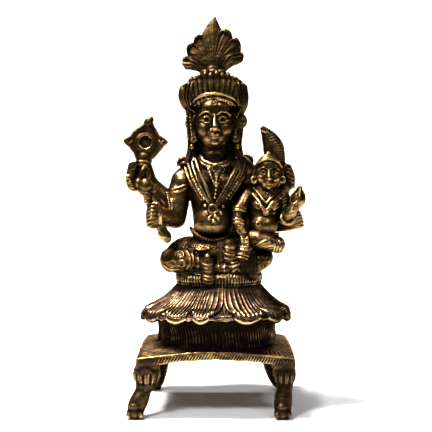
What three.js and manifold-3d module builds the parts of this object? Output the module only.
// A small cast brass shrine figure: a four-armed god with his consort on his left knee, seated on a
// lotus, over a low stool on four legs that end in rounded paws. Millimetres, +Z up. The figure faces
// -Y, its own right hand is on the -X side, and the origin is on the ground under the stool's middle.
import * as THREE from 'three';
import { mergeVertices } from 'three/addons/utils/BufferGeometryUtils.js';
import Module from 'manifold-3d';

const wasm = await Module();
wasm.setup();

// Driving dimensions.
const SEAT_Z = 26; // top of the stool, where the lotus drum stands
const SLAB_THICK = 2.9;
const STOOL_HALF = { x: 29.4, y: 24.4 };
const RIM_HALF = { x: 29, y: 26.4 }; // lip of the petal skirt
const DRUM_SHARE = 0.79; // drum and seat ring, as shares of the rim
const RING_SHARE = 0.565;
const RING_BASE_Z = 47.2; // top of the petal skirt
const RING_TOP_Z = 52.4; // top of the lotus, where the god sits
const BAND_Z = 120.6; // crown's headband over the forehead
const CROWN_TOP_Z = 131;
const LEAF_TIP_Z = 154.2; // top of the whole figure
const PETALS = 16;
const LOTUS_RIBS = 24; // round the drum and round the seat ring
const CROWN_RIBS = 16;

const TURN = 2 * Math.PI;
const degrees = (angle) => (angle * Math.PI) / 180;
const HANDS = [-1, 1];

// A closed geometry as a solid, with its shared corners merged and its faces outwards.
function solidOf(geometry) {
  const bare = geometry.clone();
  bare.deleteAttribute('normal');
  bare.deleteAttribute('uv');
  const merged = mergeVertices(bare, 1e-3);
  const vertProperties = merged.attributes.position.array;
  const triVerts = new Uint32Array(merged.index.array);
  const solid = new wasm.Manifold(new wasm.Mesh({ numProp: 3, vertProperties, triVerts }));
  if (solid.volume() > 0) return solid;
  for (let i = 0; i < triVerts.length; i += 3) {
    [triVerts[i + 1], triVerts[i + 2]] = [triVerts[i + 2], triVerts[i + 1]];
  }
  return new wasm.Manifold(new wasm.Mesh({ numProp: 3, vertProperties, triVerts }));
}

const joined = (solids) => solids.reduce((whole, solid) => whole.add(solid));

// The same geometry with every corner moved by move(point).
function warped(geometry, move) {
  const position = geometry.attributes.position;
  const point = new THREE.Vector3();
  for (let i = 0; i < position.count; i++) {
    point.fromBufferAttribute(position, i);
    move(point);
    position.setXYZ(i, point.x, point.y, point.z);
  }
  return geometry;
}

// An ellipsoid with its half-sizes along X, Y and Z, leaning in the X-Z plane by an angle in degrees.
function ball(centre, half, { lean = 0, sides = 8, rows = 5 } = {}) {
  const geometry = new THREE.SphereGeometry(1, sides, rows);
  geometry.rotateX(Math.PI / 2);
  geometry.scale(...half);
  geometry.rotateY(degrees(lean));
  geometry.translate(...centre);
  return solidOf(geometry);
}

// A round-ended limb along a curve through [x, y, z, radius] stations. Its section is the radius times
// flat[0] along the side direction and flat[1] across it. cap is the rows that round each end, and
// flutes is how deep every other side is sunk, as a share of the radius.
function limb(stations, { side = [0, 1, 0], flat = [1, 1], sides = 7, cap = 2, flutes = 0 } = {}) {
  const path = new THREE.CatmullRomCurve3(stations.map(([x, y, z]) => new THREE.Vector3(x, y, z)));
  path.curveType = 'catmullrom';
  const spans = stations.length - 1;
  const rows = spans + 2 * cap;
  const along = new THREE.Vector3();
  const across = new THREE.Vector3();
  return solidOf(
    warped(new THREE.SphereGeometry(1, sides, rows), (point) => {
      const row = Math.round((Math.acos(THREE.MathUtils.clamp(point.y, -1, 1)) / Math.PI) * rows);
      const around = Math.atan2(point.z, point.x);
      const station = THREE.MathUtils.clamp(row - cap, 0, spans);
      const [x, y, z, girth] = stations[station];
      const radius = girth * (1 - flutes * (Math.round((around / TURN) * sides) & 1));
      const rounding = ((Math.PI / 2) * Math.min(row, rows - row, cap)) / cap;
      const reach = girth * Math.cos(rounding) * Math.min(...flat);
      const tangent = path.getTangent(station / spans);
      along.set(...side);
      along.addScaledVector(tangent, -along.dot(tangent)).normalize();
      across.crossVectors(tangent, along);
      point.set(x, y, z).addScaledVector(tangent, row <= cap ? -reach : reach);
      if (row === 0 || row === rows) return;
      point.addScaledVector(along, radius * Math.sin(rounding) * flat[0] * Math.cos(around));
      point.addScaledVector(across, radius * Math.sin(rounding) * flat[1] * Math.sin(around));
    }),
  );
}

// A thin raised ridge, such as a finger, a fold or a hem.
const ridge = (...stations) => limb(stations, { sides: 4, cap: 1 });

// A closed turned solid about Z from [radius, z] points that start and end on the axis, as an oval of
// half-sizes half, with shape(angle, radius, z) giving [radius, z] where it isn't plainly round.
function turned(profile, sides, half, shape) {
  const outline = profile.map(([radius, z]) => new THREE.Vector2(radius, z));
  const geometry = new THREE.LatheGeometry(outline, sides);
  geometry.rotateX(Math.PI / 2);
  return solidOf(
    warped(geometry, (point) => {
      const plain = Math.hypot(point.x, point.y);
      if (plain < 1e-6) return;
      const angle = Math.atan2(point.y, point.x);
      const [radius, z] = shape(angle, plain, point.z);
      point.set(Math.cos(angle) * radius * half.x, Math.sin(angle) * radius * half.y, z);
    }),
  );
}

// The rib wave of a turned piece: 1 on a rib and 0 in the groove beside it.
const ribWave = (angle, ribs) => (Math.round((angle / TURN) * 2 * ribs) % 2 === 0 ? 1 : 0);

// The stool's slab lies flat under the drum and sags towards its edges, most of all at the corners.
const SAG = 4.3;

function slabSag(x, y) {
  const out = Math.hypot(x / RIM_HALF.x, y / RIM_HALF.y) / (DRUM_SHARE + 0.02) - 1;
  return out > 0 ? SAG * out ** 0.75 : 0;
}

function slab() {
  const geometry = new THREE.BoxGeometry(2 * STOOL_HALF.x, 2 * STOOL_HALF.y, SLAB_THICK, 8, 6, 1);
  return solidOf(
    warped(geometry, (point) => {
      const isTop = point.z > 0;
      const sag = slabSag(point.x, point.y);
      const u = Math.abs(point.x) / STOOL_HALF.x;
      const v = Math.abs(point.y) / STOOL_HALF.y;
      point.x *= 1 - 0.03 * u * v * v;
      point.y *= 1 - 0.03 * v * u * u;
      point.z = SEAT_Z - sag - (isTop ? 0 : SLAB_THICK + 0.1 * sag);
    }),
  );
}

// Each leg leaves the slab at top and stands at foot, both [x, y].
const LEGS = [
  { top: [-25.4, -20], foot: [-29, -22.8] },
  { top: [25.2, -20], foot: [24, -22.6] },
  { top: [-25.2, 19], foot: [-28.6, 20.6] },
  { top: [25.2, 19], foot: [28.8, 20.6] },
];

// A square block, a swelling with a rim below it, a narrow ankle and a rounded foot.
function leg({ top, foot }) {
  const at = (share, z, radius) => [
    THREE.MathUtils.lerp(top[0], foot[0], share), THREE.MathUtils.lerp(top[1], foot[1], share), z, radius];
  const block = new THREE.BoxGeometry(8.6, 8.6, 4.4).translate(0.985 * top[0], top[1], 21.4);
  const shank = limb([
    at(0, 18.8, 4.9), at(0, 16.4, 5.6), at(0.05, 13.4, 5), at(0.15, 12.8, 3.4), at(0.3, 10.8, 2.8),
    at(0.7, 6.4, 3.4), at(1, 2.6, 3.8)]);
  const toeMiddle = [foot[0], foot[1] + 2.2 * Math.sign(foot[1]), 1.3];
  const toe = ball(toeMiddle, [2.9, 1.9, 1.8], { sides: 6, rows: 4 });
  return joined([solidOf(block), shank, toe]);
}

function stool() {
  const ground = solidOf(new THREE.BoxGeometry(90, 90, 20).translate(0, 0, -10));
  return joined([slab(), ...LEGS.map(leg)]).subtract(ground);
}

// The lotus is a fluted drum, a skirt of hanging petals and the ribbed ring that the god sits on. Its
// profile is [share of the rim, z], and the petals' scallops grow from nothing at the ring to the lip.
function lotus() {
  const profile = [
    [0, SEAT_Z], [DRUM_SHARE, SEAT_Z], [DRUM_SHARE - 0.04, 29.6], [DRUM_SHARE - 0.02, 33.8],
    [0.97, 33.7], [1, 35.4], [0.95, 37.5], [0.74, 41.9], [RING_SHARE, RING_BASE_Z],
    [RING_SHARE, 48.8], [RING_SHARE - 0.01, RING_TOP_Z], [0, RING_TOP_Z]];
  return turned(profile, 2 * LOTUS_RIBS, RIM_HALF, (angle, radius, z) => {
    const isRibbed = (z > 29 && z < 30) || z > 48;
    if (isRibbed) return [radius + 0.022 * ribWave(angle, LOTUS_RIBS), z];
    const isSkirt = z > 33.6 && (z > 35 || radius > 0.9);
    const place = (angle / TURN) * PETALS + 0.5;
    const outward = isSkirt ? Math.max(0, (radius - RING_SHARE) / (1 - RING_SHARE)) : 0;
    const scallop = Math.cos(TURN * place) * outward;
    const overlap = Math.cos(Math.PI * place) * outward;
    return [radius + 0.026 * scallop + 0.012 * overlap, z - 0.9 * scallop];
  });
}

// The god's legs are crossed low, with the knees wide. The garment ends in a hem on the right shin.
function godLegs() {
  const rightThigh = limb([[-6, 3.4, 60, 6.2], [-12.4, -0.6, 59.4, 6.4], [-17, -4, 58.2, 5.4]]);
  const rightShin = limb([
    [-15.6, -7, 57.2, 4.5], [-11.6, -10.4, 56.8, 4.5], [-10.6, -11.2, 56.6, 3.5], [-4, -13, 55.6, 2.8]]);
  const rightFoot = limb([[-4, -13.2, 55.2, 2.3], [5, -13.4, 54.6, 1.7]], { sides: 6, cap: 1 });
  const leftThigh = limb([[6, 3.4, 60, 6], [12.4, -1, 59.6, 6], [18.2, -4, 57.6, 5]]);
  const leftShin = limb([[17.2, -7, 56.2, 4.1], [13, -10.4, 55.4, 3.9], [7, -12.6, 54.8, 2.8]], { sides: 6 });
  const lap = ball([0, -0.8, 59.8], [13, 11, 7.2], { sides: 9, rows: 6 });
  return [rightThigh, rightShin, rightFoot, leftThigh, leftShin, lap];
}

// A sash end with three raised bands hangs over the ring in front.
const SASH = { x: -2.6, y: -15.6, bandZ: [57.4, 54, 50.6], bandRadius: 3, radius: 2.2 };

function sash() {
  const stations = SASH.bandZ.flatMap((z, n) => [
    [SASH.x + 0.3 * n, SASH.y - 0.2 * n, z, SASH.bandRadius],
    [SASH.x + 0.3 * n, SASH.y - 0.2 * n, z - 1.7, SASH.radius]]);
  const tuck = [SASH.x - 0.4, SASH.y + 2.2, SASH.bandZ[0] + 2.2, 1.8];
  return limb([tuck, ...stations], { flat: [0.7, 1.1], cap: 1 });
}

// A fluted bunch of pleats falls beside the left shin.
function pleats() {
  const fall = [[12.8, -10, 60, 2.8], [13.4, -11.4, 56, 3.4], [13.4, -10.8, 51.4, 3.6]];
  return limb(fall, { sides: 12, cap: 1, flutes: 0.2 });
}

// The trunk widens to the shoulders over a round belly, with a belt under it.
function godTorso() {
  const trunk = limb(
    [[0, 2, 63, 9], [-0.4, 2, 71, 8.7], [-0.4, 2, 79, 9.6], [-0.6, 1.8, 86, 10.8], [-0.5, 2.4, 92.4, 9]],
    { side: [1, 0, 0], flat: [1, 0.76], sides: 9 });
  const paunch = ball([-1, -2.4, 71.4], [8.2, 7.6, 7.2], { sides: 9, rows: 6 });
  const yoke = limb(
    [[-14.6, 2.2, 90.8, 4.6], [-0.5, 2.8, 94.2, 5.2], [13, 2.2, 90.8, 4.6]],
    { flat: [0.9, 1] });
  const throat = limb([[-0.5, 1.4, 96, 5.2], [-0.5, 0.4, 103.4, 4.6]], { sides: 6, cap: 1 });
  const shoulderKnot = ball([-13.6, 1.6, 96], [2.2, 2.2, 2.4], { sides: 6, rows: 4 });
  const belt = ridge(
    [-9.4, -1.6, 68, 1.2], [-6.4, -7, 66, 1.4], [-1, -8.8, 64.8, 1.5],
    [4.8, -7.2, 65.6, 1.4], [7.8, -2.4, 67.6, 1.2]);
  return [trunk, paunch, yoke, throat, shoulderKnot, belt];
}

// Two scarf bands under a collar meet in a V on the chest, over a pendant.
function godNecklaces() {
  const scarves = HANDS.map((hand) =>
    limb(
      [[hand * 8.6, -0.4, 97, 1.4], [hand * 7.4, -5, 92.4, 1.8], [hand * 3.8, -7.2, 85.6, 1.6],
        [-0.6, -6.6, 79, 1.2]],
      { side: [hand, 0, 0.7], flat: [1.2, 0.8], sides: 5, cap: 1 }));
  const collar = ridge(
    [-5.6, 0.2, 98.6, 1], [-3.6, -5, 95.4, 1.1], [-0.4, -6.6, 94.2, 1.2],
    [3, -5, 95.4, 1.1], [5, 0.2, 98.6, 1]);
  const pendant = ball([-0.9, -8.2, 76.8], [1.8, 1.4, 2.2], { sides: 6, rows: 4 });
  return [...scarves, collar, pendant];
}

// A closed hand as a stack of fingers round what it holds, leaning in the X-Z plane.
function fist([x, y, z], { half, width, lean = 0, fingers = 4 }) {
  const stations = Array.from({ length: 2 * fingers - 1 }, (_, n) => {
    const rise = (n / (fingers - 1) - 1) * half;
    return [x + rise * Math.tan(degrees(lean)), y, z + rise, n % 2 === 0 ? width : 0.76 * width];
  });
  return limb(stations, { flat: [0.9, 1], sides: 6, cap: 1 });
}

// The right arms share a shoulder: the lower hand closes on the mace, the upper one lifts the disc.
const RIGHT_ELBOW = [-16.2, -1.4, 73.6];
const MACE_FIST = [-24, -10.5, 74.8];
const DISC_FIST = [-31.6, -0.6, 90.2];

function godRightArms() {
  const upper = limb([[-15, 2.2, 90.2, 4.6], [-15.4, 0.8, 82, 4.7], [...RIGHT_ELBOW, 4.5]]);
  const wrist = [MACE_FIST[0] + 2.6, -9, 75.4];
  const forearm = limb([[...RIGHT_ELBOW, 4.4], [-19.6, -5.6, 73.4, 3.5], [...wrist, 3.2]]);
  const raised = limb([
    [-15.8, 2, 77.4, 3.8], [-21.4, 2, 82.4, 3.4], [-26, 1, 87.4, 2.9], [-28, 0.2, 93.4, 2.8]]);
  const maceHand = fist(MACE_FIST, { half: 4.2, width: 3.5, lean: 6 });
  const discHand = fist(DISC_FIST, { half: 4.8, width: 3.1, lean: -4 });
  return [upper, forearm, raised, maceHand, discHand];
}

// Of the left arms, the upper hand lifts the conch, and the lower one reaches round the consort's
// back and lays its fingers on her thigh.
const CONCH_FIST = [29.2, 3.4, 90.2];

function godLeftArms() {
  const raised = limb([
    [13.2, 2.2, 90.4, 4.4], [19.6, 4.6, 80, 4.2], [25, 5.2, 82, 3.6], [27.6, 4, 86.6, 3]]);
  const lower = limb([[13, 2, 86, 4.4], [13, -0.6, 75, 4.8], [11, -6, 68, 3.6]], { sides: 6 });
  const fingers = limb(
    [[11, -9.4, 66.8, 3.2], [11.6, -10.6, 61.4, 2.9]],
    { sides: 10, cap: 1, flutes: 0.22 });
  return [raised, lower, fingers, fist(CONCH_FIST, { half: 4.6, width: 2.9, lean: -12 })];
}

// The god's head is a calm oval with long side locks over the ears and a cap of hair behind.
const HEAD = [-0.5, -1, 111.4];

function godHead() {
  const [x, y, z] = HEAD;
  const skull = ball(HEAD, [8, 8.4, 10.2], { sides: 9, rows: 7 });
  const nose = limb([[x, y - 7.8, z + 2.4, 0.9], [x, y - 9, z - 1.4, 1.4]], { sides: 5, cap: 1 });
  const eyes = HANDS.map((hand) =>
    ball([x + hand * 3.3, y - 6.9, z + 0.9], [1.9, 1.1, 1], { sides: 5, rows: 4 }));
  const mouth = ridge(
    [x - 2.2, y - 6.6, z - 5.4, 0.7], [x, y - 7.6, z - 5.6, 1], [x + 2.2, y - 6.6, z - 5.4, 0.7]);
  const hair = ball([x, y + 6.2, z - 3.8], [11, 4.8, 17]);
  const locks = HANDS.map((hand) =>
    limb(
      [[x + hand * 9, 1.6, 118, 1.8], [x + hand * 9.6, 1, 110.4, 2.2], [x + hand * 9.3, 0.8, 102.4, 1.8],
        [x + hand * 10.6, 0.2, 96, 1.7]],
      { sides: 5, cap: 1 }));
  return [skull, nose, ...eyes, mouth, hair, ...locks];
}

// The crown is a flared ribbed cap over a headband arched on the forehead, with a scroll at each side.
const CROWN_MIDDLE = [-0.8, 1.4];
const CROWN_HALF = { x: 12.9, y: 10.6 };
const CROWN_RIB_DEPTH = 0.07; // share of the half-size

function crown() {
  const profile = [
    [0, CROWN_TOP_Z + 0.6], [0.5, CROWN_TOP_Z], [0.82, CROWN_TOP_Z - 2.6], [0.98, CROWN_TOP_Z - 5.8],
    [0.72, BAND_Z - 1], [0, BAND_Z - 3]];
  const cap = turned(profile, 2 * CROWN_RIBS, CROWN_HALF, (angle, radius, z) => {
    const sunk = radius > 0.5 ? CROWN_RIB_DEPTH * (1 - ribWave(angle, CROWN_RIBS)) : 0;
    return [radius - sunk, z - 0.8 * Math.sin(angle)];
  }).translate([...CROWN_MIDDLE, 0]);
  const band = ridge(
    [-9, 1, BAND_Z - 3.4, 1], [-6.6, -6, BAND_Z - 0.8, 1.2], [-0.6, -9, BAND_Z + 0.5, 1.2],
    [5.4, -6, BAND_Z - 0.8, 1.2], [8, 1, BAND_Z - 3.4, 1]);
  const leftScroll = ball([-12.2, 1.4, 121.6], [2.9, 4.6, 5], { lean: -14, sides: 7 });
  const rightScroll = ball([10, 1.4, 121], [2.5, 4.6, 6.6], { lean: 4, sides: 7 });
  return [cap, band, leftScroll, rightScroll];
}

// The leaf finial spreads from its foot in seven lobes, each [angle from upright in degrees, length].
const LEAF_FOOT = [-1.2, 0.8, 131];
const LEAF_THICK = 2.6;
const LEAF_LOBES = [
  [-64, 13.4], [-41, 15.8], [-24, 17], [1.6, LEAF_TIP_Z - LEAF_FOOT[2]], [19, 18.9], [37, 17.3], [58, 14.3]];
const LEAF_NOTCH = 0.09; // depth between two lobes, as a share of the length
const LOBE_STEPS = 4; // corners of the outline for each lobe
const FOOT_STEPS = 6; // corners from the last lobe round the foot to the first

// The outline at a place along the row of lobes, where whole numbers are the lobes' middles.
function leafOutline(place) {
  const first = THREE.MathUtils.clamp(Math.floor(place), 0, LEAF_LOBES.length - 2);
  const [angle, length] = [0, 1].map((k) =>
    THREE.MathUtils.lerp(LEAF_LOBES[first][k], LEAF_LOBES[first + 1][k], place - first));
  const notch = 0.5 * LEAF_NOTCH * (1 - Math.cos(TURN * place));
  return { angle: degrees(angle), length: length * (1 - notch) };
}

// The blade is a flattened ball with its poles at the foot, drawn out to the outline on both faces.
function leafFinial() {
  const [x, y, z] = LEAF_FOOT;
  const spread = LOBE_STEPS * LEAF_LOBES.length;
  const sides = spread + FOOT_STEPS;
  const rows = 5;
  const blade = warped(new THREE.SphereGeometry(1, sides, rows), (point) => {
    const row = Math.round((Math.acos(THREE.MathUtils.clamp(point.y, -1, 1)) / Math.PI) * rows);
    const step = Math.round((Math.atan2(point.z, point.x) / TURN + 1) * sides) % sides;
    const isLobe = step <= spread;
    const lobe = leafOutline(step / LOBE_STEPS - 0.5);
    const angle = isLobe ? lobe.angle : degrees(THREE.MathUtils.lerp(80, 280, (step - spread) / FOOT_STEPS));
    const share = Math.min(1, 1.06 * Math.sin((Math.PI * row) / rows) ** 0.8);
    const length = share * (isLobe ? lobe.length : 3);
    const vein = isLobe && step % 2 === 0 ? 0.3 * share : 0;
    const bulge = (0.5 * LEAF_THICK - 0.5 * share + vein) * Math.sign(rows / 2 - row);
    point.set(x + length * Math.sin(angle), y + 2 * share * share - bulge, z + length * Math.cos(angle));
  });
  const foot = limb([[x, y, z - 1.8, 4], [x, y, z + 1.8, 2.8]], { flat: [0.7, 1.2], sides: 5, cap: 1 });
  return [foot, solidOf(blade)];
}

// The disc in the raised right hand is a four-pointed plate with a ringed hollow in its middle. Its
// points reach east, north, west and south of the centre, and the waist is how far in they are joined.
const DISC = { centre: [-28.2, -0.4, 104], reach: [9.2, 9.4, 8.4, 8], waist: 4.9, northLean: 12, thick: 2.8 };

function disc() {
  const [x, y, z] = DISC.centre;
  const outline = new THREE.Shape();
  const around = (angle, radius) => [
    x + radius * Math.cos(degrees(angle)), z + radius * Math.sin(degrees(angle))];
  const tip = (quarter) =>
    around(90 * quarter - (quarter === 1 ? DISC.northLean : 0), DISC.reach[quarter % 4]);
  outline.moveTo(...tip(0));
  for (const quarter of [1, 2, 3, 4]) {
    outline.quadraticCurveTo(...around(90 * quarter - 45, DISC.waist), ...tip(quarter));
  }
  const star = new THREE.ExtrudeGeometry(outline, {
    depth: DISC.thick, bevelEnabled: false, curveSegments: 2 });
  star.rotateX(Math.PI / 2).translate(0, y + DISC.thick / 2, 0);
  const face = y - DISC.thick / 2;
  const boss = ball([x, face + 0.4, z], [4.4, 1.7, 4.4], { sides: 9 });
  const hollow = ball([x, face - 1.2, z], [2.6, 1.9, 2.6], { sides: 7, rows: 4 });
  const stem = limb([[-29, 0, 93, 2.8], [-28.6, 0, 97.4, 2.9]], { sides: 6, cap: 1 });
  const knob = ball([x + 2, y, z + 8.2], [2, 1.6, 1.4], { sides: 6, rows: 4 });
  return [joined([solidOf(star), boss]).subtract(hollow), stem, knob];
}

// The mace hangs head down through the lower right hand, with a round pommel above the fist.
function mace() {
  const pommel = ball([-26.8, -9.6, 86.6], [2.7, 2.6, 2.9], { sides: 7 });
  const shaft = limb(
    [[-26.4, -9.8, 85, 1.7], [-23.4, -10.2, 75, 1.8], [-20.4, -10.2, 68.4, 2.2],
      [-19.2, -10.2, 66.4, 1.8]],
    { sides: 5, cap: 1 });
  return [pommel, shaft];
}

// The conch in the raised left hand curls to a point over the consort's head, in swelling whorls.
function conch() {
  return limb(
    [[24.4, 3.4, 89.4, 3.9], [23.8, 3.2, 94.6, 4.5], [23.7, 3.2, 96.2, 3.9], [23.2, 3.1, 99, 4.4],
      [22.8, 3, 100.6, 3.7], [21.8, 3, 103.4, 3.7], [21, 2.9, 105, 2.7], [18.6, 2.6, 109.4, 0.8]],
    { flat: [0.62, 1], cap: 1 });
}

// The consort sits on the god's left knee, with a garland on her breast.
function consortBody() {
  const trunk = limb(
    [[17, -4.6, 66.4, 6.2], [18.6, -5.6, 72.4, 6], [19.6, -4, 81, 6.8], [19.8, -4, 84.4, 5.2]],
    { side: [1, 0, 0], flat: [1, 0.74] });
  const paunch = ball([18.6, -8, 71], [5.6, 4.2, 4.4], { sides: 7 });
  const breasts = HANDS.map((hand) =>
    ball([19.6 + 2.9 * hand, -8, 78.8], [2.5, 2.4, 2.4], { sides: 6, rows: 4 }));
  const throat = limb([[19.8, -4, 84.6, 2.8], [20.2, -4.8, 88, 2.6]], { sides: 5, cap: 1 });
  const garland = ridge(
    [13.8, -6.4, 83.4, 1], [17, -10, 78.8, 1.1], [19.8, -10.8, 76.4, 1.2], [22.8, -10, 78.8, 1.1],
    [26, -6.4, 82.8, 1]);
  return [trunk, paunch, ...breasts, throat, garland];
}

// Her right arm, with two bangles, rests on her lap, and her left hand lifts a lotus bud.
function consortArms() {
  const right = limb(
    [[12.6, -4, 82.6, 2.8], [9.6, -6.8, 78, 2.4], [8.9, -7.8, 76.4, 3], [8.5, -8.8, 74, 2.3],
      [8.4, -9.4, 72.4, 2.9], [10.4, -10.8, 67.8, 2]],
    { sides: 6, cap: 1 });
  const left = limb([
    [26.2, -3.6, 82, 2.9], [28.2, -4.6, 76, 2.8], [27.6, -7.4, 72.6, 3], [28.8, -9.4, 76, 3.4]]);
  const bud = limb(
    [[30, -8.8, 77.8, 1.9], [31.8, -8.2, 81.4, 3.1], [33.2, -8, 85.4, 1.1]],
    { sides: 6, cap: 1 });
  return [right, left, bud];
}

const CONSORT_HEAD = [20.4, -5.4, 91.2];

function consortHead() {
  const [x, y, z] = CONSORT_HEAD;
  const skull = ball(CONSORT_HEAD, [5.4, 5.4, 6.4], { rows: 6 });
  const nose = ridge([x - 0.5, y - 5, z + 0.8, 0.6], [x - 0.6, y - 5.6, z - 1.2, 1]);
  const tiara = ridge(
    [x - 5, y - 1.4, z + 3.2, 1.1], [x - 2.6, y - 3.8, z + 5, 1.2], [x, y - 3.8, z + 6.3, 1.4],
    [x + 2.8, y - 3.8, z + 4.9, 1.2], [x + 5, y - 1.2, z + 2.6, 1.1]);
  const bun = ball([x + 0.9, y + 3.6, z - 0.4], [5.6, 4.6, 6.4], { sides: 6 });
  return [skull, nose, tiara, bun];
}

// Her legs fold over the god's knee: the right one hangs down in front, with two anklets, and the
// left foot shows at the outside.
function consortLegs() {
  const thigh = limb([[14.4, -8, 65.4, 4.2], [18.6, -10, 64.6, 3.8], [22.6, -9.2, 62.8, 2.9]]);
  const foot = ball([23.9, -8.6, 61.8], [2.7, 3, 2.9], { sides: 6 });
  const shin = limb(
    [[12, -9.4, 64, 3], [10.6, -11.6, 60, 3], [10, -12.4, 58.4, 2.3], [9.4, -13, 56.4, 3],
      [8.8, -13.4, 54.8, 2.2]],
    { sides: 6, cap: 1 });
  return [thigh, foot, shin];
}

// A thin scarf end flies out behind her left arm.
const SCARF_THICK = 2.4;

function consortScarf() {
  const outline = new THREE.Shape();
  outline.moveTo(22, 78.4);
  outline.lineTo(33.4, 77.4);
  outline.quadraticCurveTo(36, 74, 34.8, 69);
  outline.lineTo(24, 67.2);
  const cloth = new THREE.ExtrudeGeometry(outline, {
    depth: SCARF_THICK, bevelEnabled: false, curveSegments: 3 });
  cloth.rotateX(Math.PI / 2).translate(0, -1.4, 0);
  return solidOf(cloth);
}

function deityGroup() {
  return joined([
    lotus(), ...godLegs(), sash(), pleats(), ...godTorso(), ...godNecklaces(),
    ...godRightArms(), ...godLeftArms(), ...godHead(), ...crown(), ...leafFinial(),
    ...disc(), ...mace(), conch(),
    ...consortBody(), ...consortArms(), ...consortHead(), ...consortLegs(), consortScarf(),
  ]);
}

function meshOf(name, solid, material) {
  const { vertProperties, triVerts } = solid.getMesh();
  const geometry = new THREE.BufferGeometry();
  geometry.setAttribute('position', new THREE.BufferAttribute(vertProperties, 3));
  geometry.setIndex(new THREE.BufferAttribute(triVerts, 1));
  geometry.computeVertexNormals();
  const mesh = new THREE.Mesh(geometry, material);
  mesh.name = name;
  return mesh;
}

const brass = (color, roughness) => new THREE.MeshStandardMaterial({ color, roughness, metalness: 1 });

const part = new THREE.Group();
part.add(meshOf('four_legged_stool', stool(), brass(0x6b5130, 0.42)));
part.add(meshOf('deity_group_on_lotus', deityGroup(), brass(0x7a5f38, 0.38)));

export default part;
